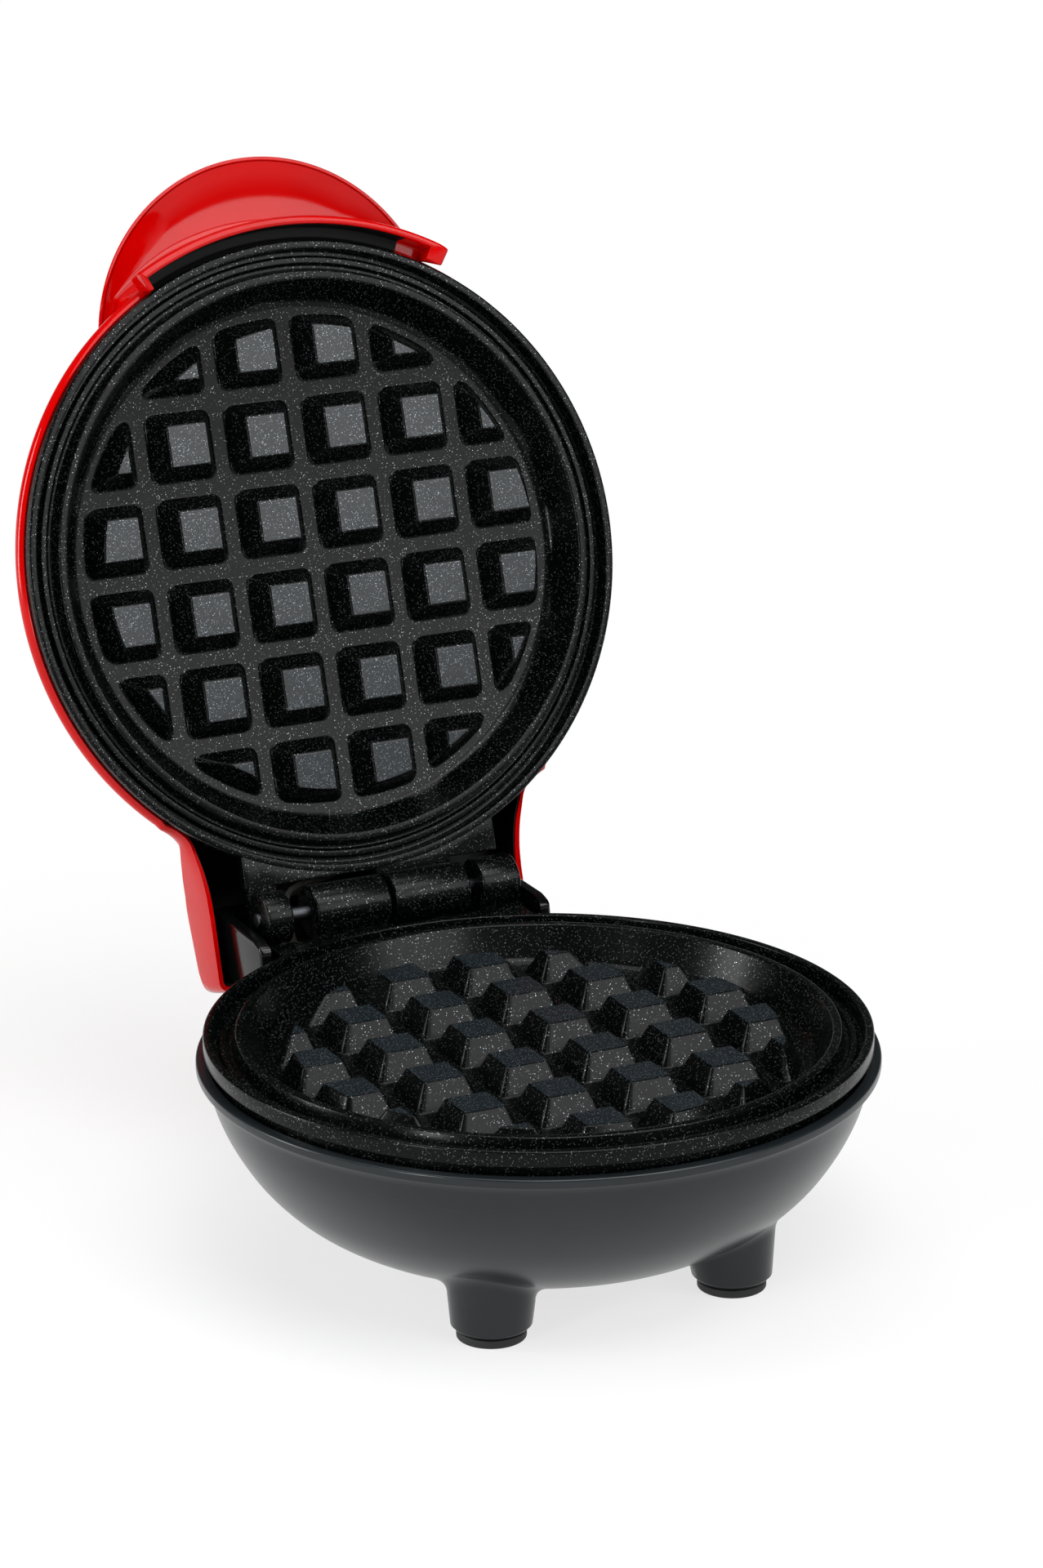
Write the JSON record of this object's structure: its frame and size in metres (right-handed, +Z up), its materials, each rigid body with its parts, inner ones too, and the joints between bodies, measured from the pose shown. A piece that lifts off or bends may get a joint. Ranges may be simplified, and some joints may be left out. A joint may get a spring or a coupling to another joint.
{
  "type": "waffle maker",
  "caption": "Small round hinged waffle maker on low legs: red domed lid with a finger hood, charcoal bowl base, dark non-stick plates with square pegs, shown open.",
  "frame": {"origin": "middle of the open footprint, on the table under the foot pads", "axes": "+Z up; the front, with the finger hood, faces -Y; +X to the right seen from the front"},
  "size_m": [0.1262, 0.1923, 0.1832],
  "materials": {
    "red_plastic": "glossy red moulding",
    "charcoal_plastic": "satin charcoal moulding",
    "nonstick_coating": "black non-stick coating with fine silver flakes on cast aluminium",
    "rubber": "soft black",
    "steel": "plain steel",
    "heater_steel": "dull steel sheath",
    "aluminium": "pressed sheet",
    "ceramic": null,
    "amber_lens": "clear amber plastic",
    "brown_insulation": "brown wire insulation",
    "blue_insulation": "blue wire insulation",
    "white_insulation": "pale heat-proof sleeve over wire"
  },
  "bodies": {
    "base": {"base_screw_1": "steel", "base_screw_2": "steel", "base_screw_3": "steel", "base_screw_4": "steel", "base_shell": "charcoal_plastic", "cord_gland": "rubber", "foot_pad_1": "rubber", "foot_pad_2": "rubber", "foot_pad_3": "rubber", "foot_pad_4": "rubber", "fuse_lead": "white_insulation", "heater_lead": "white_insulation", "hinge_pin": "steel", "link_live_base": "white_insulation", "link_neutral_base": "white_insulation", "live_lead": "brown_insulation", "lower_heater": "heater_steel", "lower_plate": "nonstick_coating", "lower_reflector": "aluminium", "lower_reflector_screw": "steel", "lower_terminal_live": "steel", "lower_terminal_neutral": "steel", "neutral_lead": "blue_insulation", "thermal_fuse": "steel", "thermostat": "ceramic", "thermostat_screw": "steel"},
    "lid": {"indicator_lamp": "ceramic", "indicator_lens": "amber_lens", "lamp_live_lead": "white_insulation", "lamp_neutral_lead": "white_insulation", "lid_shell": "red_plastic", "link_live_lid": "white_insulation", "link_neutral_lid": "white_insulation", "upper_heater": "heater_steel", "upper_plate": "nonstick_coating", "upper_reflector": "aluminium", "upper_reflector_screw": "steel", "upper_terminal_live": "steel", "upper_terminal_neutral": "steel"}
  },
  "joints": [
    {"name": "lid_hinge", "type": "hinge", "parent": "base", "child": "lid", "pos_m": [0, 0.0342, 0.04801], "axis": [1, 0, 0], "range_deg": [0, 109.8]}
  ]
}
